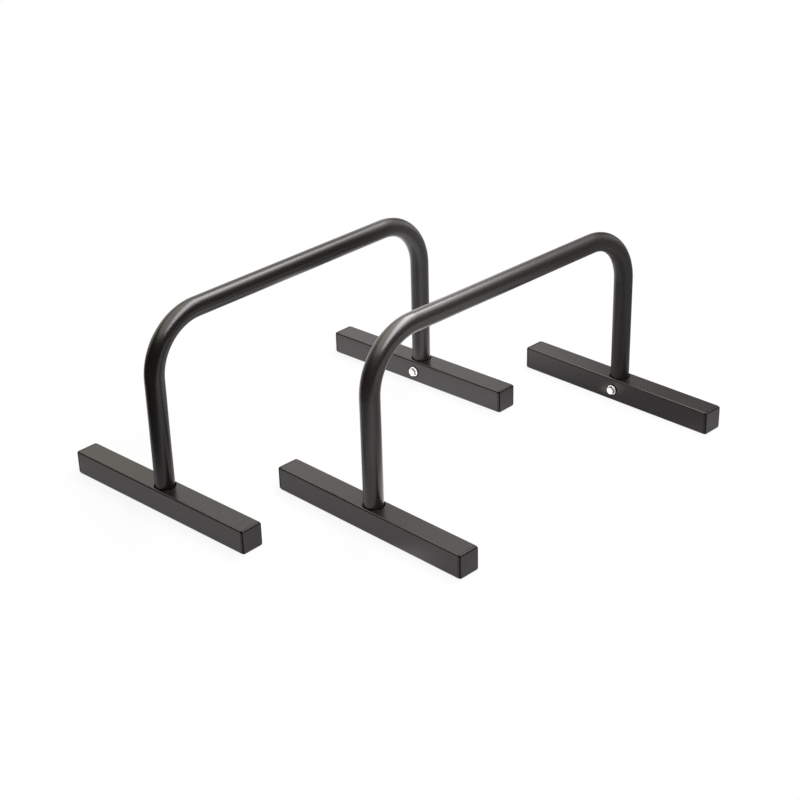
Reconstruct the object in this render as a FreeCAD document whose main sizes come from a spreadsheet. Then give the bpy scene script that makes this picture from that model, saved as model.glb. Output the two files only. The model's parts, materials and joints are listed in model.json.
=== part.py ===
"""A pair of parallette bars: bent tube handrails on square-tube feet, bolted together.

X runs along the handrails, from the front feet to the rear feet. Y runs along the feet, from the right bar to
the left bar. Z is up, and the feet stand on Z = 0. Lengths are in millimetres and angles in degrees.
"""
import FreeCAD, Part
import math
import os
import Sketcher

SIZES = {
    # How the pair stands
    "bar_spacing": 300,
    "bar_stagger": 171,
    "bar_toe_angle": 1.2,
    # Handrail: a round tube bent down to two legs
    "rail_height": 328,
    "leg_span": 600,
    "tube_diameter": 31.8,
    "tube_wall": 2,
    "bend_radius": 91,
    "leg_end_chamfer": 1.2,
    # Feet: square tube, laid across the handrail
    "foot_side": 40,
    "foot_wall": 2,
    "foot_corner": 2.5,
    "foot_tube_length": 385,
    "leg_play": 1.9,
    # End caps: a flange outside the tube with a groove behind it, a hollow plug with grip fins inside it
    "cap_flange": 4.5,
    "cap_edge": 2.5,
    "cap_corner": 4,
    "cap_groove": 0.8,
    "plug_depth": 18,
    "plug_wall": 2,
    "plug_play": 0.8,
    "fin_play": 0.1,
    "fin_thickness": 1.2,
    "fin_pitch": 5,
    # Bolts, with a washer under each head
    "bolt_diameter": 8,
    "bolt_length": 20,
    "bolt_flats": 13,
    "bolt_head": 5.3,
    "bolt_tip": 1,
    "bolt_face_share": 0.95,
    "bolt_chamfer_angle": 30,
    "bolt_play": 0.5,
    "washer_diameter": 17.5,
    "washer_thickness": 1.6,
    "washer_play": 0.2,
    # Weld nuts, set in the legs
    "nut_flats": 13,
    "nut_height": 6.5,
    "nut_collar_diameter": 10.5,
    "nut_play": 0.15,
    "thread_play": 0.05,
    # How far a cut runs past what it cuts
    "overrun": 1,
}
FIN_COUNT = 3
QUARTER_TURN_ANGLE = 90
BARS = {"left": 1, "right": -1}
FEET = {"front": -1, "rear": 1}
CAP_ENDS = {"outer": 1, "inner": -1}
# How a sketch numbers the points of its lines and arcs, and its own axes, which meet at its origin
START, END, CENTRE = range(1, 4)
X_AXIS, Y_AXIS = range(-1, -3, -1)
ORIGIN = (X_AXIS, START)


class Size:
    """A size from the sheet, or one worked out from such sizes: its formula and its present value."""

    def __init__(self, formula, value):
        self.formula = formula
        self.value = value

    @staticmethod
    def of(other):
        return other if isinstance(other, Size) else Size(str(other), other)

    def __add__(self, other):
        other = Size.of(other)
        return Size(f"({self.formula} + {other.formula})", self.value + other.value)

    def __sub__(self, other):
        other = Size.of(other)
        return Size(f"({self.formula} - {other.formula})", self.value - other.value)

    def __mul__(self, other):
        other = Size.of(other)
        return Size(f"({self.formula} * {other.formula})", self.value * other.value)

    def __truediv__(self, other):
        other = Size.of(other)
        return Size(f"({self.formula} / {other.formula})", self.value / other.value)

    def __neg__(self):
        return Size(f"(-{self.formula})", -self.value)

    def root(self):
        return Size(f"sqrt({self.formula})", math.sqrt(self.value))

    def tangent(self):
        return Size(f"tan({self.formula})", math.tan(math.radians(self.value)))


ZERO = Size("0", 0)
doc = FreeCAD.newDocument("parallette_bars")
sheet = doc.addObject("Spreadsheet::Sheet", "Sizes")


def write_sheet():
    for row, (name, value) in enumerate(SIZES.items(), start=1):
        sheet.set(f"A{row}", name)
        sheet.set(f"B{row}", str(value))
        sheet.setAlias(f"B{row}", name)
    doc.recompute()


def size(name):
    return Size(f"Sizes.{name}", getattr(sheet, name))


def place(body, *moves):
    """Puts a body at the end of a chain of moves, each an offset and a turn about an axis."""
    steps = []
    for offset, axis, angle in moves:
        base = "; ".join(Size.of(part).formula for part in offset)
        turn = Size.of(angle).formula
        steps.append(f"placement(vector({base}); rotation(vector({axis}); {turn}))")
    body.setExpression("Placement", " * ".join(steps))


def new_body(label):
    body = doc.addObject("PartDesign::Body", label)
    body.Label = label
    return body


def plane_of(body, role):
    return next(feature for feature in body.Origin.OriginFeatures if feature.Role == role)


def new_sketch(body, name, role, lift=ZERO, rise=ZERO):
    """A sketch on one of the body's planes, moved by lift along its normal and by rise up its own page."""
    sketch = body.newObject("Sketcher::SketchObject", name)
    sketch.AttachmentSupport = [(plane_of(body, role), "")]
    sketch.MapMode = "FlatFace"
    sketch.setExpression("AttachmentOffset.Base.z", lift.formula)
    sketch.setExpression("AttachmentOffset.Base.y", rise.formula)
    return sketch


def dimension(sketch, kind, *parts):
    """Adds a dimension to a sketch and ties it to a size, the last of the parts."""
    *elements, length = parts
    index = sketch.addConstraint(Sketcher.Constraint(kind, *elements, length.value))
    sketch.setExpression(f"Constraints[{index}]", length.formula)


def point(x, y):
    return FreeCAD.Vector(x, y, 0)


def draw_circle(sketch, diameter):
    circle = sketch.addGeometry(Part.Circle(point(0, 0), FreeCAD.Vector(0, 0, 1), diameter.value / 2))
    sketch.addConstraint(Sketcher.Constraint("Coincident", circle, CENTRE, *ORIGIN))
    dimension(sketch, "Diameter", circle, diameter)
    return circle


def draw_polygon(sketch, corners):
    """A closed outline with each corner held at its own distance from the sketch's axes."""
    following = corners[1:] + corners[:1]
    lines = [
        sketch.addGeometry(Part.LineSegment(point(x.value, y.value), point(next_x.value, next_y.value)))
        for (x, y), (next_x, next_y) in zip(corners, following)
    ]
    for line, next_line in zip(lines, lines[1:] + lines[:1]):
        sketch.addConstraint(Sketcher.Constraint("Coincident", line, END, next_line, START))
    for line, (x, y) in zip(lines, corners):
        dimension(sketch, "DistanceX", *ORIGIN, line, START, x)
        dimension(sketch, "DistanceY", *ORIGIN, line, START, y)


def draw_rounded_square(sketch, side, corner):
    """A square about the sketch's origin, with rounded corners."""
    reach = side.value / 2
    core = reach - corner.value
    lines = []
    arcs = []
    for turn in range(4):
        angle = turn * math.pi / 2
        spin = FreeCAD.Rotation(FreeCAD.Vector(0, 0, 1), math.degrees(angle))
        line = Part.LineSegment(spin.multVec(point(reach, -core)), spin.multVec(point(reach, core)))
        circle = Part.Circle(spin.multVec(point(core, core)), FreeCAD.Vector(0, 0, 1), corner.value)
        lines.append(sketch.addGeometry(line))
        arcs.append(sketch.addGeometry(Part.ArcOfCircle(circle, angle, angle + math.pi / 2)))
    for turn in range(4):
        sketch.addConstraint(Sketcher.Constraint("Tangent", lines[turn], END, arcs[turn], START))
        sketch.addConstraint(Sketcher.Constraint("Tangent", arcs[turn], END, lines[(turn + 1) % 4], START))
        sketch.addConstraint(Sketcher.Constraint("Horizontal" if turn % 2 else "Vertical", lines[turn]))
    for arc in arcs[1:]:
        sketch.addConstraint(Sketcher.Constraint("Equal", arcs[0], arc))
    right, top, left, bottom = lines
    sketch.addConstraint(Sketcher.Constraint("Symmetric", arcs[0], CENTRE, arcs[2], CENTRE, *ORIGIN))
    dimension(sketch, "Radius", arcs[0], corner)
    dimension(sketch, "DistanceX", left, START, right, START, side)
    dimension(sketch, "DistanceY", bottom, START, top, START, side)


def draw_hexagon(sketch, flats):
    """A hexagon about the sketch's origin, with two of its flats level."""
    sides = 6
    radius = flats.value / 2 / math.cos(math.pi / sides)
    corners = [
        point(radius * math.cos(math.tau * turn / sides), radius * math.sin(math.tau * turn / sides))
        for turn in range(sides)
    ]
    lines = [
        sketch.addGeometry(Part.LineSegment(corners[turn], corners[(turn + 1) % sides]))
        for turn in range(sides)
    ]
    circle = sketch.addGeometry(Part.Circle(point(0, 0), FreeCAD.Vector(0, 0, 1), radius), True)
    sketch.addConstraint(Sketcher.Constraint("Coincident", circle, CENTRE, *ORIGIN))
    for line, next_line in zip(lines, lines[1:] + lines[:1]):
        sketch.addConstraint(Sketcher.Constraint("Coincident", line, END, next_line, START))
        sketch.addConstraint(Sketcher.Constraint("PointOnObject", line, END, circle))
    for line in lines[1:]:
        sketch.addConstraint(Sketcher.Constraint("Equal", lines[0], line))
    top, bottom = lines[1], lines[4]
    sketch.addConstraint(Sketcher.Constraint("Horizontal", top))
    dimension(sketch, "DistanceY", bottom, START, top, START, flats)


def pad(body, sketch, length, reverse=False, both_ways=False):
    feature = body.newObject("PartDesign::Pad", f"{sketch.Name}_pad")
    feature.Profile = sketch
    feature.setExpression("Length", length.formula)
    feature.Reversed = reverse
    if both_ways:
        feature.SideType = "Symmetric"
    doc.recompute()
    return feature


def pocket(body, sketch, length, reverse=False):
    solid_before = body.Shape.Volume
    feature = body.newObject("PartDesign::Pocket", f"{sketch.Name}_pocket")
    feature.Profile = sketch
    feature.setExpression("Length", length.formula)
    feature.Reversed = reverse
    doc.recompute()
    if body.Shape.Volume >= solid_before:
        raise RuntimeError(f"{feature.Label} removes nothing")
    return feature


def chamfer_round_ends(body, solid, diameter, level, width):
    """Chamfers the round edges of this diameter that lie at this level."""
    edges = []
    for index, edge in enumerate(solid.Shape.Edges, start=1):
        curve = edge.Curve
        if not isinstance(curve, Part.Circle):
            continue
        if math.isclose(curve.Radius, diameter.value / 2) and math.isclose(curve.Center.z, level.value):
            edges.append(f"Edge{index}")
    feature = body.newObject("PartDesign::Chamfer", f"{solid.Name}_chamfer")
    feature.Base = (solid, edges)
    feature.setExpression("Size", width.formula)
    doc.recompute()


def foot_inside():
    return size("foot_side") - size("foot_wall") * 2


def foot_inner_corner():
    return size("foot_corner") - size("foot_wall")


def make_handrail(label):
    """The bent tube, in the bar's own frame: the floor under the middle of the rail."""
    body = new_body(label)
    span = size("leg_span")
    bend = size("bend_radius")
    rail_axis = size("rail_height") - size("tube_diameter") / 2
    leg_end = size("foot_wall")

    path = new_sketch(body, "bend_line", "XZ_Plane")
    half, radius, top, low = span.value / 2, bend.value, rail_axis.value, leg_end.value
    up = FreeCAD.Vector(0, 0, 1)
    front_bend = Part.Circle(point(radius - half, top - radius), up, radius)
    rear_bend = Part.Circle(point(half - radius, top - radius), up, radius)
    front_leg = path.addGeometry(Part.LineSegment(point(-half, low), point(-half, top - radius)))
    front = path.addGeometry(Part.ArcOfCircle(front_bend, math.pi / 2, math.pi))
    rail = path.addGeometry(Part.LineSegment(point(radius - half, top), point(half - radius, top)))
    rear = path.addGeometry(Part.ArcOfCircle(rear_bend, 0, math.pi / 2))
    rear_leg = path.addGeometry(Part.LineSegment(point(half, top - radius), point(half, low)))
    path.addConstraint(Sketcher.Constraint("Tangent", front_leg, END, front, END))
    path.addConstraint(Sketcher.Constraint("Tangent", front, START, rail, START))
    path.addConstraint(Sketcher.Constraint("Tangent", rail, END, rear, END))
    path.addConstraint(Sketcher.Constraint("Tangent", rear, START, rear_leg, START))
    path.addConstraint(Sketcher.Constraint("Vertical", front_leg))
    path.addConstraint(Sketcher.Constraint("Horizontal", rail))
    path.addConstraint(Sketcher.Constraint("Vertical", rear_leg))
    path.addConstraint(Sketcher.Constraint("Equal", front, rear))
    path.addConstraint(Sketcher.Constraint("Symmetric", front_leg, START, rear_leg, END, Y_AXIS))
    dimension(path, "Radius", front, bend)
    dimension(path, "DistanceX", front_leg, START, rear_leg, END, span)
    dimension(path, "DistanceY", *ORIGIN, front_leg, START, leg_end)
    dimension(path, "DistanceY", *ORIGIN, rail, START, rail_axis)

    section = new_sketch(body, "tube_section", "XY_Plane", lift=leg_end)
    section.setExpression("AttachmentOffset.Base.x", (-span / 2).formula)
    draw_circle(section, size("tube_diameter"))
    draw_circle(section, size("tube_diameter") - size("tube_wall") * 2)
    doc.recompute()
    tube = body.newObject("PartDesign::AdditivePipe", "bent_tube")
    tube.Profile = section
    tube.Spine = path
    tube.Mode = "Frenet"
    doc.recompute()

    nut_hole = new_sketch(body, "nut_hole", "YZ_Plane", lift=-span / 2, rise=size("foot_side") / 2)
    draw_circle(nut_hole, size("nut_collar_diameter") + size("nut_play") * 2)
    drilled = pocket(body, nut_hole, size("tube_diameter") / 2 + size("overrun"), reverse=True)
    both_legs = body.newObject("PartDesign::Mirrored", "both_legs")
    both_legs.Originals = [drilled]
    both_legs.MirrorPlane = (plane_of(body, "YZ_Plane"), [""])
    body.Tip = both_legs
    doc.recompute()
    chamfer_round_ends(body, both_legs, size("tube_diameter"), leg_end, size("leg_end_chamfer"))
    return body


def make_foot(label):
    """A square tube, in the foot's frame: the floor under the leg, with +X towards the middle of the bar."""
    body = new_body(label)
    middle = size("foot_side") / 2
    section = new_sketch(body, "foot_section", "XZ_Plane", rise=middle)
    draw_rounded_square(section, size("foot_side"), size("foot_corner"))
    draw_rounded_square(section, foot_inside(), foot_inner_corner())
    pad(body, section, size("foot_tube_length"), both_ways=True)
    leg_hole = new_sketch(body, "leg_hole", "XY_Plane", lift=middle)
    draw_circle(leg_hole, size("tube_diameter") + size("leg_play") * 2)
    pocket(body, leg_hole, middle + size("overrun"), reverse=True)
    bolt_hole = new_sketch(body, "bolt_hole", "YZ_Plane", rise=middle)
    draw_circle(bolt_hole, size("bolt_diameter") + size("bolt_play") * 2)
    pocket(body, bolt_hole, middle + size("overrun"), reverse=True)
    return body


def make_cap(label):
    """An end cap, with the end of its tube at Z = 0 and its flange above."""
    body = new_body(label)
    corner = foot_inner_corner()
    plug_side = foot_inside() - size("plug_play") * 2
    fin_side = foot_inside() - size("fin_play") * 2
    hollow_side = plug_side - size("plug_wall") * 2

    plug = new_sketch(body, "plug", "XY_Plane")
    draw_rounded_square(plug, plug_side, corner)
    draw_rounded_square(plug, hollow_side, corner)
    pad(body, plug, size("plug_depth"), reverse=True)

    fin = new_sketch(body, "fin", "XY_Plane", lift=-size("fin_pitch"))
    draw_rounded_square(fin, fin_side, corner)
    draw_rounded_square(fin, hollow_side, corner)
    first_fin = pad(body, fin, size("fin_thickness"), reverse=True)
    fins = body.newObject("PartDesign::LinearPattern", "fins")
    fins.Originals = [first_fin]
    fins.Direction = (plane_of(body, "XY_Plane"), [""])
    fins.Reversed = True
    fins.Occurrences = FIN_COUNT
    fins.setExpression("Length", (size("fin_pitch") * (FIN_COUNT - 1)).formula)
    body.Tip = fins
    doc.recompute()

    neck = new_sketch(body, "neck", "XY_Plane")
    draw_rounded_square(neck, size("foot_side") - size("cap_groove") * 2, size("cap_corner"))
    pad(body, neck, size("cap_groove"))
    flange = new_sketch(body, "flange", "XY_Plane", lift=size("cap_groove"))
    draw_rounded_square(flange, size("foot_side"), size("cap_corner"))
    outer = pad(body, flange, size("cap_flange") - size("cap_groove"))
    top = size("cap_flange").value
    rim = [
        f"Edge{index}"
        for index, edge in enumerate(outer.Shape.Edges, start=1)
        if min(vertex.Z for vertex in edge.Vertexes) > top - size("cap_edge").value
    ]
    rounding = body.newObject("PartDesign::Fillet", "flange_edge")
    rounding.Base = (outer, rim)
    rounding.setExpression("Radius", size("cap_edge").formula)
    return body


def make_bolt(label):
    """A hex bolt, with the foot's wall at Z = 0 and its head above the washer."""
    body = new_body(label)
    seat = size("washer_thickness")
    head_top = seat + size("bolt_head")
    head = new_sketch(body, "head", "XY_Plane", lift=seat)
    draw_hexagon(head, size("bolt_flats"))
    pad(body, head, size("bolt_head"))

    face_radius = size("bolt_flats") * size("bolt_face_share") / 2
    clear_radius = size("bolt_flats")
    fall = (clear_radius - face_radius) * size("bolt_chamfer_angle").tangent()
    corner_cut = new_sketch(body, "corner_cut", "XZ_Plane")
    draw_polygon(corner_cut, [
        (face_radius, head_top),
        (clear_radius, head_top - fall),
        (clear_radius, head_top),
    ])
    chamfer = body.newObject("PartDesign::Groove", "head_chamfer")
    chamfer.Profile = corner_cut
    chamfer.ReferenceAxis = (corner_cut, ["V_Axis"])
    doc.recompute()

    shank = new_sketch(body, "shank", "XY_Plane", lift=seat)
    draw_circle(shank, size("bolt_diameter"))
    rod = pad(body, shank, size("bolt_length"), reverse=True)
    chamfer_round_ends(body, rod, size("bolt_diameter"), seat - size("bolt_length"), size("bolt_tip"))
    return body


def make_washer(label):
    """A flat washer round the bolt, against the foot's wall at Z = 0."""
    body = new_body(label)
    ring = new_sketch(body, "ring", "XY_Plane")
    draw_circle(ring, size("washer_diameter"))
    draw_circle(ring, size("bolt_diameter") + size("washer_play") * 2)
    pad(body, ring, size("washer_thickness"))
    return body


def make_nut(label):
    """A weld nut inside the leg, whose collar passes the leg's wall and meets the foot's."""
    body = new_body(label)
    bore = size("tube_diameter") / 2 - size("tube_wall")
    half_flats = size("nut_flats") / 2
    reach = (bore * bore - half_flats * half_flats).root() - size("nut_play")
    face = reach - size("foot_side") / 2
    block = new_sketch(body, "block", "XY_Plane", lift=face)
    draw_hexagon(block, size("nut_flats"))
    pad(body, block, size("nut_height"), reverse=True)
    collar = new_sketch(body, "collar", "XY_Plane", lift=face)
    draw_circle(collar, size("nut_collar_diameter"))
    pad(body, collar, -face - size("foot_wall"))
    thread = new_sketch(body, "thread", "XY_Plane")
    draw_circle(thread, size("bolt_diameter") + size("thread_play") * 2)
    pocket(body, thread, size("foot_side"))
    return body


def make_bar(bar, side):
    """All the pieces of one bar. Side is 1 for the bar on the +Y side of the pair, and -1 for the other."""
    parts = []
    spot = (size("bar_stagger") * -side / 2, size("bar_spacing") * side / 2, 0)
    stand = (spot, "0; 0; 1", size("bar_toe_angle") * side)
    handrail = make_handrail(f"{bar}_handrail")
    place(handrail, stand)
    parts.append(handrail)
    for foot, end in FEET.items():
        facing = QUARTER_TURN_ANGLE * (1 + end)
        seat = ((size("leg_span") * end / 2, 0, 0), "0; 0; 1", facing)
        foot_tube = make_foot(f"{bar}_{foot}_foot")
        place(foot_tube, stand, seat)
        parts.append(foot_tube)
        for cap_end, outward in CAP_ENDS.items():
            way = outward * side * -end
            tube_end = (0, size("foot_tube_length") * way / 2, size("foot_side") / 2)
            cap = make_cap(f"{bar}_{foot}_cap_{cap_end}")
            place(cap, stand, seat, (tube_end, "1; 0; 0", -QUARTER_TURN_ANGLE * way))
            parts.append(cap)
        fasteners = {
            "bolt": make_bolt,
            "washer": make_washer,
            "nut": make_nut,
        }
        bolt_hole = (size("foot_side") / 2, 0, size("foot_side") / 2)
        for name, make in fasteners.items():
            fastener = make(f"{bar}_{foot}_{name}")
            place(fastener, stand, seat, (bolt_hole, "0; 1; 0", QUARTER_TURN_ANGLE))
            parts.append(fastener)
    return parts


def check(parts):
    for item in doc.Objects:
        if "Invalid" in item.State or "Error" in item.State:
            raise RuntimeError(f"{item.Label} failed: {item.State}")
    for part in parts:
        if part.Shape.isNull() or not part.Shape.isValid() or len(part.Shape.Solids) != 1:
            raise RuntimeError(f"{part.Label} has no valid solid")


def main():
    write_sheet()
    parts = []
    for bar, side in BARS.items():
        parts += make_bar(bar, side)
    doc.recompute()
    check(parts)
    os.makedirs("parts", exist_ok=True)
    for part in parts:
        part.Shape.exportStep(f"parts/{part.Label}.step")
    print(f"{len(parts)} pieces written")


main()
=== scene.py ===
"""Looks of the parallette bars: the finishes of their pieces, the studio they stand in and the camera."""
import json
import math

import bpy
from mathutils import Matrix, Vector

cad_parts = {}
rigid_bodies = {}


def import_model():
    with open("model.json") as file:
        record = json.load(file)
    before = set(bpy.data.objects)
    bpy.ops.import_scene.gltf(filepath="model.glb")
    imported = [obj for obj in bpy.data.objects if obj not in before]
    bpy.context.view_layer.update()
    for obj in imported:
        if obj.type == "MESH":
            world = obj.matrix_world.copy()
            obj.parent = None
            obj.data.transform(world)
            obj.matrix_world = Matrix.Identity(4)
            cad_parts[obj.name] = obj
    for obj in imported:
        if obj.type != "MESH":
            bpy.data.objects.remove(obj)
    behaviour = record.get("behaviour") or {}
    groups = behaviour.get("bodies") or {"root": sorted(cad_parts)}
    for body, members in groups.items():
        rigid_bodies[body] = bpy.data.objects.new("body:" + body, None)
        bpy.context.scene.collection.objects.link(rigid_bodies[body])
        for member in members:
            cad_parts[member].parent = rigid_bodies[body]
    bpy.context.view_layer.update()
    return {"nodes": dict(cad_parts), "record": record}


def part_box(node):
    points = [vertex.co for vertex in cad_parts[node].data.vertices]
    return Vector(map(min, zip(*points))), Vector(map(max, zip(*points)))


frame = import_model()

# Camera: where it stands, where it looks and what is to its right, its lens and sensor, in metres and millimetres
CAMERA_PLACE = Vector((-1.746044, -1.699843, 1.317347))
CAMERA_AHEAD = Vector((0.639090, 0.623510, -0.450333))
CAMERA_RIGHT = Vector((0.688993, -0.724333, -0.025093))
CAMERA_LENS = 74.936
CAMERA_SENSOR = 36

# Directions: along the rails to the rear, from the right bar to the left one, up, and level ones from the camera
ALONG_RAILS = Vector((1, 0, 0))
TO_LEFT_BAR = Vector((0, 1, 0))
UP = Vector((0, 0, 1))
AWAY = Vector((CAMERA_AHEAD.x, CAMERA_AHEAD.y, 0)).normalized()
TO_RIGHT = Vector((AWAY.y, -AWAY.x, 0))

# Noise: the middle of its range, over which two tones blend, and the peaks that show as specks or rubbed spots
NOISE_MIDDLE = (0.3, 0.7)
DUST_PEAKS = (0.66, 0.76)
RUBBED_PEAKS = (0.48, 0.62)

# Powder coat: the two tones of each bar, the colours of dust, of rubbed wear and of the painted shade along the foot
# edges and round the washers, and how much of each shows
# The left bar's tones are darker and warmer than the right bar's: painted shade on the left bar and painted light on
# the right, for the two bars being lit differently.
COAT_TONES = {
    "left": ((0.0072, 0.0054, 0.0046, 1.0), (0.0070, 0.0060, 0.0042, 1.0)),
    "right": ((0.0150, 0.0102, 0.0105, 1.0), (0.0145, 0.0110, 0.0108, 1.0)),
}
DUST = (0.035, 0.032, 0.030, 1.0)
DUST_SHARE = 0.4
# Near black for the painted shade along a foot's long edges, and how much of it shows
EDGE_SHADE = (0.0035, 0.0030, 0.0028, 1.0)
EDGE_SHADE_SHARE = 0.7
RUBBED_GREY = (0.030, 0.028, 0.026, 1.0)
RUBBED_SHARE = 0.12
# Near black for painted shade: the contact shadow round a washer and the darkened rounded edges of a cap
PAINTED_SHADE_BLACK = (0.002, 0.002, 0.002, 1.0)

# Powder coat: sizes of its marks and the depth of its relief in metres, and how much each mark changes the gloss
GRAIN_SIZE = 0.0008
WAVE_SIZE = 0.0045
PATCH_SIZE = 0.11
DUST_SIZE = 0.0012
RUBBED_SIZE = 0.007
COAT_RELIEF = 0.00006
GRAIN_RELIEF_SHARE = 0.75
GRAIN_MATT = 0.1
PATCH_MATT = 0.05
RUBBED_MATT = 0.1
EDGE_GLOSS = 0.06
FOOT_SATIN = 0.2
COAT_SHINE = {"IOR": 1.55, "Coat Weight": 0.25, "Coat Roughness": 0.2}

# Handrails: how matt each is, its own shine, the steps of its clear coat (two places along the rails and the weights
# there) and how much the coat blurs
HANDRAILS = {
    "left_handrail": {
        "satin": 0.19,
        "shine": {"Coat Roughness": 0.45, "Coat IOR": 1.6},
        "coat_steps": [(0.0, 0.3, 0.0, 1.0)],
        "coat_blur": 0.18,
    },
    "right_handrail": {
        "satin": 0.29,
        "shine": {"IOR": 1.45},
        "coat_steps": [(-0.21, -0.13, 0.55, 1.0), (-0.1, 0.25, 1.0, 0.0)],
        "coat_blur": 0.0,
    },
}

# Feet: where the rounded edges of a tube begin, and the band of painted contact shadow round a washer, in metres
EDGE_START = (0.0168, 0.0190)
SHADOW_RING_WIDTH = 0.0027
SHADOW_RING_SOLID_SHARE = 0.4
SHADOW_RING_DEPTH = (0.003, 0.0036)

# Caps: tones, grain, flow marks and relief in metres, gloss, and how square to a side a face is where its edge starts
CAP_TONES = ((0.0125, 0.0100, 0.0100, 1.0), (0.0150, 0.0122, 0.0120, 1.0))
CAP_GRAIN_SIZE = 0.0005
CAP_FLOW_SIZE = 0.02
CAP_RELIEF = 0.00008
CAP_IOR = 1.55
CAP_SATIN = 0.26
CAP_GRAIN_MATT = 0.14
CAP_EDGE_MATT = 0.25
CAP_EDGE = (0.9, 0.985)
# How much painted shade darkens the rounded edges of a cap
CAP_EDGE_SHADE = 0.8

# Bolts, washers and nuts: tones, clouds, grain and relief in metres, and gloss
ZINC_TONES = ((0.88, 0.90, 0.92, 1.0), (0.97, 0.96, 0.94, 1.0))
ZINC_CLOUD_SIZE = 0.004
ZINC_GRAIN_SIZE = 0.0004
ZINC_RELIEF = 0.00001
ZINC_SATIN = 0.12
ZINC_CLOUD_MATT = 0.16

# Floor: its half width and its depth under the feet in metres, its paint, and the shadow that the camera sees on it
FLOOR_REACH = 9
FLOOR_DROP = 0.0002
FLOOR_PAINT = (0.95, 0.95, 0.95, 1.0)
SHADOW_SHARE = 0.13
SHADOW_REACH = (0.45, 0.8)

# Floor in gloss: the soft borders of its places in metres, how much light the dark ones lose, and how bright the rest
# is. Steps with four numbers also give the levels at their two ends.
FRONT_SLANT = 1.2
FRONT_EDGE = (-1.0, -0.7, 0.1, 1.0)
STRIP_SIDES = ((0.1, 0.36), (0.42, 0.54))
STRIP_REST = 0.1
STRIP_DARK = 0.66
CORNER_SIDE = (0.44, 0.6)
CORNER_START = (0.0, 0.13)
CORNER_DARK = 0.65
# The floor between the bars is dimmed in gloss: a painted shadow of the bars.
BETWEEN_ENDS = ((-0.1, -0.06), (0.085, 0.13))
BETWEEN_SIDE = (-0.155, -0.1)
BETWEEN_SHADOW_DARK = 0.7
PAPER_LEVEL = 0.66
NEAR_SHEET = (-0.55, -0.4, 1.65, 1.0)
FAR_SHEET = (-0.08, 0.15, 0.0, 0.58)
REAR_LEFT_START = (0.1, 0.15)
REAR_LEFT_SIDE = (0.12, 0.22)
REAR_LEFT_LEVEL = 0.52
CARD_SIDES = ((-0.04, 0.02), (0.1, 0.16))
CARD_ENDS = ((-0.4, -0.3), (0.0, 0.08))
CARD_LEVEL = 1.0
BOLT_CARD_AWAY = Vector((-0.032, 0.028, -0.020))
BOLT_CARD_SIZE = (0.012, 0.022)

# Room: levels of its parts, and their soft borders as shares of a step to the right, up or away from the camera
ROOM_LEVEL = 0.05
BACKDROP_LEVEL = 0.715
BACKDROP_EDGE = (0.2, 0.45)
LEFT_GLOW = (-0.45, -0.1, 1.1, 1.0)
LOW_GLOW = (0.3, 0.55, 1.4, 1.0)
GAP_SIDES = ((0.07, 0.15), (0.45, 0.65))
GAP_TOP = (0.5, 0.62)
GAP_DARK = 0.95
WALL_LEVEL = 0.12
WALL_SIDE = (0.4, 0.9)
WALL_TOP = (0.6, 0.85)
CEILING_LEVEL = 2.5
CEILING_START = (0.63, 0.81)
CEILING_SIDE = (0.3, 0.5)
SPILL_LEVEL = 2.6
SPILL_START = (0.66, 0.74)
SPILL_SIDE = (0.3, 0.45)
WHITE = (1.0, 1.0, 1.0, 1.0)
STUDIO_TINT = (1.0, 0.95, 0.95, 1.0)
LEFT_TINT = (1.0, 0.97, 0.85, 1.0)
TINT_SIDE = (-0.16, -0.05)

# Softbox: its middle and its sides in metres, and its level
SOFTBOX_PLACE = 0.745 * TO_RIGHT - 0.53 * AWAY + 2.9 * UP
SOFTBOX_SIZE = (5.35, 1.3)
SOFTBOX_LEVEL = 6.5


class Field:
    """Something that varies over a surface: one output of a shader node, open to sums and products."""

    def __init__(self, socket):
        self.socket = socket

    def math(self, operation, first, second):
        return add_node(self.socket.id_data, "ShaderNodeMath", {"operation": operation}, {0: first, 1: second})

    def measure(self, operation, other):
        settings = {"operation": operation}
        return add_node(self.socket.id_data, "ShaderNodeVectorMath", settings, {0: self, 1: other}, "Value")

    def __add__(self, other):
        return self.math("ADD", self, other)

    def __radd__(self, other):
        return self.math("ADD", other, self)

    def __sub__(self, other):
        return self.math("SUBTRACT", self, other)

    def __rsub__(self, other):
        return self.math("SUBTRACT", other, self)

    def __mul__(self, other):
        return self.math("MULTIPLY", self, other)

    def __rmul__(self, other):
        return self.math("MULTIPLY", other, self)

    def size(self):
        return self.math("ABSOLUTE", self, 0.0)

    def at_most(self, other):
        return self.math("MINIMUM", self, other)

    def at_least(self, other):
        return self.math("MAXIMUM", self, other)

    def dot(self, direction):
        return self.measure("DOT_PRODUCT", direction)

    def distance(self, point):
        return self.measure("DISTANCE", point)

    def apart(self, point, direction):
        """How far a place is from a point along a direction, either way."""
        return (self.dot(direction) - point.dot(direction)).size()

    def step(self, low, high, start=0.0, end=1.0):
        """Goes smoothly from start to end as the value goes from low to high."""
        sockets = {"Value": self, "From Min": low, "From Max": high, "To Min": start, "To Max": end}
        return add_node(self.socket.id_data, "ShaderNodeMapRange", {"interpolation_type": "SMOOTHSTEP"}, sockets)

    def fall(self, low, high, end=0.0):
        """Goes smoothly from 1 to end as the value goes from low to high."""
        return self.step(low, high, 1.0, end)

    def band(self, rise, fall, end=0.0):
        """Goes from 0 to 1 over one stretch of values, and on to end over another."""
        return self.step(*rise) * self.fall(*fall, end)


def put(tree, value, socket):
    """Links a field to a socket, or sets the socket to a plain value."""
    if isinstance(value, Field):
        tree.links.new(value.socket, socket)
    else:
        socket.default_value = value


def add_node(tree, kind, settings=None, sockets=None, output=0):
    """Adds a node, sets its settings and then its sockets, and gives one of its outputs."""
    node = tree.nodes.new(kind)
    for name, value in (settings or {}).items():
        setattr(node, name, value)
    for name, value in (sockets or {}).items():
        put(tree, value, node.inputs[name])
    return Field(node.outputs[output])


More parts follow.
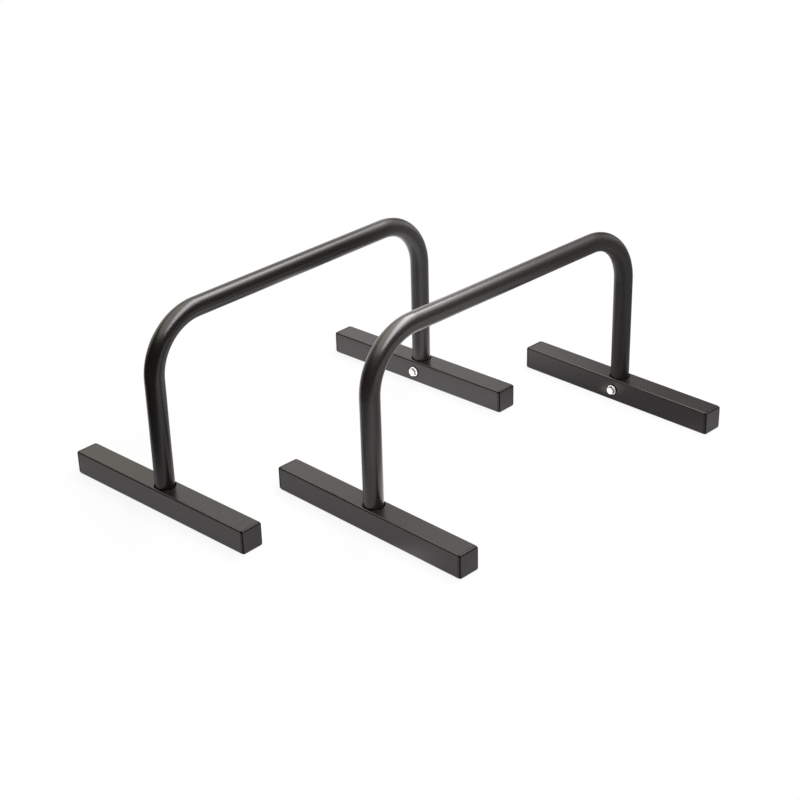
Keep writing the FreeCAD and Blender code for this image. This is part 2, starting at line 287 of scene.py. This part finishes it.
def mix_colours(tree, factor, first, second):
    """A colour between two colours."""
    settings = {"data_type": "RGBA", "clamp_factor": True}
    return add_node(tree, "ShaderNodeMix", settings, {0: factor, 6: first, 7: second}, output=2)


class Finish:
    """A material of the part: a principled shader, and the nodes that vary it over the surface."""

    def __init__(self, name, constants):
        self.material = bpy.data.materials.new(name)
        self.material.use_nodes = True
        self.tree = self.material.node_tree
        self.shader = self.tree.nodes["Principled BSDF"]
        for socket, value in constants.items():
            self.shader.inputs[socket].default_value = value
        self.place = self.node("ShaderNodeTexCoord", output="Object")

    def node(self, kind, settings=None, sockets=None, output=0):
        return add_node(self.tree, kind, settings, sockets, output)

    def noise(self, size, detail=2.0, roughness=0.5):
        """Soft noise whose blotches are about this size across, in metres."""
        sockets = {"Vector": self.place, "Scale": 1 / size, "Detail": detail, "Roughness": roughness}
        return self.node("ShaderNodeTexNoise", sockets=sockets)

    def mix(self, factor, first, second):
        return mix_colours(self.tree, factor, first, second)

    def bump(self, height, depth):
        return self.node("ShaderNodeBump", sockets={"Height": height, "Distance": depth, "Strength": 1.0})

    def dress(self, **fields):
        """Feeds the shader's sockets, named with underscores for blanks."""
        for name, field in fields.items():
            put(self.tree, field, self.shader.inputs[name.replace("_", " ")])
        return self.material


def centre(node):
    low, high = (Vector(corner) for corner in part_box(node))
    return (low + high) / 2


def foot_marks(finish, foot):
    """Two masks on a foot: its long edges, which get painted shade and rubbed wear, and a band round its washer,
    where a contact shadow is painted.
    """
    bar = foot.split("_")[0]
    washer = foot.replace("foot", "washer")
    along_bar = (centre(f"{bar}_rear_foot") - centre(f"{bar}_front_foot")).normalized()
    width = finish.place.apart(centre(foot), along_bar)
    height = finish.place.apart(centre(foot), UP)
    edges = width.at_most(height).step(*EDGE_START)
    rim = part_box(washer)[1][2] - centre(washer).z
    round_washer = finish.place.distance(centre(washer)).fall(rim + SHADOW_RING_SOLID_SHARE * SHADOW_RING_WIDTH, rim + SHADOW_RING_WIDTH)
    return edges, finish.place.apart(centre(washer), along_bar).fall(*SHADOW_RING_DEPTH) * round_washer


def powder_coat(node):
    """Satin black powder coat: a fine grain, the soft waves of the melted powder, broad faint patches and dust."""
    rail = HANDRAILS.get(node, {})
    finish = Finish(f"{node}_coat", {**COAT_SHINE, **rail.get("shine", {})})
    grain = finish.noise(GRAIN_SIZE, detail=3.0, roughness=0.6)
    waves = finish.noise(WAVE_SIZE, detail=1.0)
    patches = finish.noise(PATCH_SIZE)
    dust = finish.noise(DUST_SIZE, detail=1.0).step(*DUST_PEAKS)
    tone = finish.mix(patches.step(*NOISE_MIDDLE), *COAT_TONES[node.split("_")[0]])
    tone = finish.mix(DUST_SHARE * dust, tone, DUST)
    roughness = rail.get("satin", FOOT_SATIN) + GRAIN_MATT * grain + PATCH_MATT * patches
    if rail:
        lengthwise = finish.place.dot(ALONG_RAILS)
        clear_coat = math.prod(lengthwise.step(*step) for step in rail["coat_steps"])
        finish.dress(Coat_Weight=clear_coat)
        roughness = roughness + rail["coat_blur"] * clear_coat
    else:
        edges, washer_shadow = foot_marks(finish, node)
        rubbed = edges * finish.noise(RUBBED_SIZE, detail=4.0, roughness=0.65).step(*RUBBED_PEAKS)
        # Painted shade: the long edges of a foot are darkened towards near black.
        tone = finish.mix(EDGE_SHADE_SHARE * edges, tone, EDGE_SHADE)
        tone = finish.mix(RUBBED_SHARE * rubbed, tone, RUBBED_GREY)
        # Painted contact shadow round the washer: near black, and metallic so it stays dark except at grazing angles.
        tone = finish.mix(washer_shadow, tone, PAINTED_SHADE_BLACK)
        finish.dress(Metallic=washer_shadow)
        roughness = roughness - EDGE_GLOSS * edges + RUBBED_MATT * rubbed
    relief = GRAIN_RELIEF_SHARE * grain + (1 - GRAIN_RELIEF_SHARE) * waves
    return finish.dress(Base_Color=tone, Roughness=roughness, Normal=finish.bump(relief, COAT_RELIEF))


def cap_plastic():
    """Moulded black plastic with a fine spark-eroded grain, and painted shade that darkens and dulls its rounded
    edges.
    """
    finish = Finish("black_cap_plastic", {"IOR": CAP_IOR})
    grain = finish.noise(CAP_GRAIN_SIZE, roughness=0.7)
    flow = finish.noise(CAP_FLOW_SIZE, detail=3.0)
    tone = finish.mix(flow.step(*NOISE_MIDDLE), *CAP_TONES)
    normal = finish.node("ShaderNodeNewGeometry", output="Normal")
    lengthwise, leftward, upward = [normal.dot(side).size() for side in (ALONG_RAILS, TO_LEFT_BAR, UP)]
    edges = lengthwise.at_least(leftward).at_least(upward).step(*CAP_EDGE, CAP_EDGE_SHADE, 0.0)
    # Painted shade on the rounded edges: darker, metallic so they stay dark, and rougher.
    return finish.dress(
        Base_Color=finish.mix(edges, tone, PAINTED_SHADE_BLACK),
        Metallic=edges,
        Roughness=CAP_SATIN + CAP_GRAIN_MATT * grain + CAP_EDGE_MATT * edges,
        Normal=finish.bump(grain, CAP_RELIEF),
    )


def zinc_plate():
    """Bright zinc plate, faintly clouded by its passivation and rubbed by the spanner."""
    finish = Finish("bright_zinc_plate", {"Metallic": 1.0})
    cloud = finish.noise(ZINC_CLOUD_SIZE, detail=3.0)
    grain = finish.noise(ZINC_GRAIN_SIZE)
    return finish.dress(
        Base_Color=finish.mix(cloud.step(*NOISE_MIDDLE), *ZINC_TONES),
        Roughness=ZINC_SATIN + ZINC_CLOUD_MATT * cloud,
        Normal=finish.bump(grain, ZINC_RELIEF),
    )


def dress_nodes():
    """Gives every piece its finish. Each handrail and foot has a coat of its own, and the rest share theirs."""
    shared = {"cap_plastic": cap_plastic(), "zinc_plate": zinc_plate()}
    for part in frame["record"]["subparts"]:
        node, slot = part["node"], part["material_slot"]
        finish = shared[slot] if slot in shared else powder_coat(node)
        frame["nodes"][node].material_slots[0].material = finish


def empty_tree(owner):
    """The node tree of a floor's material or of the world, with nothing in it."""
    owner.use_nodes = True
    owner.node_tree.nodes.clear()
    return owner.node_tree


def end_tree(tree, kind, surface):
    """Ends a floor's or a world's nodes in their output."""
    put(tree, surface, tree.nodes.new(kind).inputs["Surface"])


def ray_kinds(tree):
    """Three masks: seen by the camera, seen in gloss, and seen through something clear."""
    path = tree.nodes.new("ShaderNodeLightPath")
    return [Field(path.outputs[f"Is {kind} Ray"]) for kind in ("Camera", "Glossy", "Transmission")]


def floor_in_gloss(place):
    """How bright the floor is in gloss: a sheet with dark places in it, and light cards on it."""
    along, side = place.dot(AWAY), place.dot(TO_RIGHT)
    lengthwise, leftward = place.dot(ALONG_RAILS), place.dot(TO_LEFT_BAR)
    front = (along + FRONT_SLANT * side).step(*FRONT_EDGE)
    strip = 1 - STRIP_DARK * side.band(*STRIP_SIDES, STRIP_REST)
    corner = 1 - CORNER_DARK * side.step(*CORNER_SIDE) * along.step(*CORNER_START)
    # Painted shadow of the bars on the floor between them, seen only in gloss.
    between = 1 - BETWEEN_SHADOW_DARK * lengthwise.band(*BETWEEN_ENDS) * leftward.step(*BETWEEN_SIDE)
    rear_left = REAR_LEFT_LEVEL * lengthwise.step(*REAR_LEFT_START) * side.fall(*REAR_LEFT_SIDE)
    sheet = PAPER_LEVEL * (along.step(*NEAR_SHEET) + along.step(*FAR_SHEET) + rear_left)
    card = side.band(*CARD_SIDES) * along.band(*CARD_ENDS)
    bolt_card = place.distance(centre("right_rear_washer") + BOLT_CARD_AWAY).fall(*BOLT_CARD_SIZE)
    return front * strip * corner * between * sheet + CARD_LEVEL * (card + bolt_card)


def lay_floor():
    """White paper: plain white to the camera apart from a faint shadow, and paint to the light that falls on it."""
    mesh = bpy.data.meshes.new("studio_floor")
    corners = [(x * FLOOR_REACH, y * FLOOR_REACH, -FLOOR_DROP) for x, y in ((-1, -1), (1, -1), (1, 1), (-1, 1))]
    mesh.from_pydata(corners, [], [(0, 1, 2, 3)])
    floor = bpy.data.objects.new("studio_floor", mesh)
    bpy.context.scene.collection.objects.link(floor)
    material = bpy.data.materials.new("white_paper")
    tree = empty_tree(material)
    place = add_node(tree, "ShaderNodeTexCoord", output="Object")
    camera, glossy, through = ray_kinds(tree)
    plain = camera.at_least(through)
    level = plain.at_least(glossy * floor_in_gloss(place))
    tint = mix_colours(tree, camera, STUDIO_TINT, WHITE)
    white = add_node(tree, "ShaderNodeEmission", sockets={"Color": tint, "Strength": level})
    paint = add_node(tree, "ShaderNodeBsdfDiffuse", sockets={"Color": FLOOR_PAINT})
    share = place.distance(Vector((0, 0, 0))).step(*SHADOW_REACH, 1 - SHADOW_SHARE, 1.0)
    factor = plain.at_least(glossy) * share
    surface = add_node(tree, "ShaderNodeMixShader", sockets={0: factor, 1: paint, 2: white})
    end_tree(tree, "ShaderNodeOutputMaterial", surface)
    mesh.materials.append(material)


def room_level(direction, glossy):
    """How bright the room is: a backdrop with a dark gap, a dim wall, and a ceiling and a spill only gloss sees."""
    along, side, up = direction.dot(AWAY), direction.dot(TO_RIGHT), direction.dot(UP)
    gap = 1 - GAP_DARK * side.band(*GAP_SIDES) * up.fall(*GAP_TOP)
    glow = side.step(*LEFT_GLOW) * up.step(*LOW_GLOW)
    backdrop = BACKDROP_LEVEL * along.step(*BACKDROP_EDGE) * up.fall(*WALL_TOP) * gap * glow
    right_wall = WALL_LEVEL * side.step(*WALL_SIDE) * up.fall(*WALL_TOP)
    ceiling = CEILING_LEVEL * up.step(*CEILING_START) * side.fall(*CEILING_SIDE)
    spill = SPILL_LEVEL * up.step(*SPILL_START) * side.step(*SPILL_SIDE)
    return ROOM_LEVEL + backdrop + right_wall + glossy * (ceiling + spill)


def light_world():
    """A dim room with a lit backdrop behind the bars. The camera sees plain white."""
    world = bpy.data.worlds.new("studio")
    bpy.context.scene.world = world
    tree = empty_tree(world)
    direction = add_node(tree, "ShaderNodeTexCoord", output="Generated")
    camera, glossy, _ = ray_kinds(tree)
    level = camera.at_least(room_level(direction, glossy))
    tint = mix_colours(tree, direction.dot(TO_RIGHT).step(*TINT_SIDE), LEFT_TINT, STUDIO_TINT)
    tint = mix_colours(tree, camera, tint, WHITE)
    sky = add_node(tree, "ShaderNodeBackground", sockets={"Color": tint, "Strength": level})
    end_tree(tree, "ShaderNodeOutputWorld", sky)


def hang_softbox():
    """One long softbox overhead on the right, which runs the way the camera looks."""
    light = bpy.data.lights.new("overhead_softbox", "AREA")
    light.shape = "RECTANGLE"
    light.size, light.size_y = SOFTBOX_SIZE
    light.energy = SOFTBOX_LEVEL * math.pi * light.size * light.size_y
    lamp = bpy.data.objects.new("overhead_softbox", light)
    lamp.location = SOFTBOX_PLACE
    lamp.rotation_euler.z = math.atan2(AWAY.y, AWAY.x)
    bpy.context.scene.collection.objects.link(lamp)


def set_camera():
    data = bpy.data.cameras.new("camera")
    data.lens = CAMERA_LENS
    data.sensor_width = CAMERA_SENSOR
    camera = bpy.data.objects.new("camera", data)
    back = -CAMERA_AHEAD.normalized()
    up = back.cross(CAMERA_RIGHT).normalized()
    right = up.cross(back)
    turn = Matrix((right, up, back)).transposed()
    camera.matrix_world = Matrix.Translation(CAMERA_PLACE) @ turn.to_4x4()
    bpy.context.scene.collection.objects.link(camera)
    bpy.context.scene.camera = camera


for obj in [o for o in bpy.data.objects if o.type in {"LIGHT", "CAMERA"} or o.name == "Cube"]:
    bpy.data.objects.remove(obj)
dress_nodes()
lay_floor()
light_world()
hang_softbox()
set_camera()
bpy.context.scene.view_settings.view_transform = "Standard"
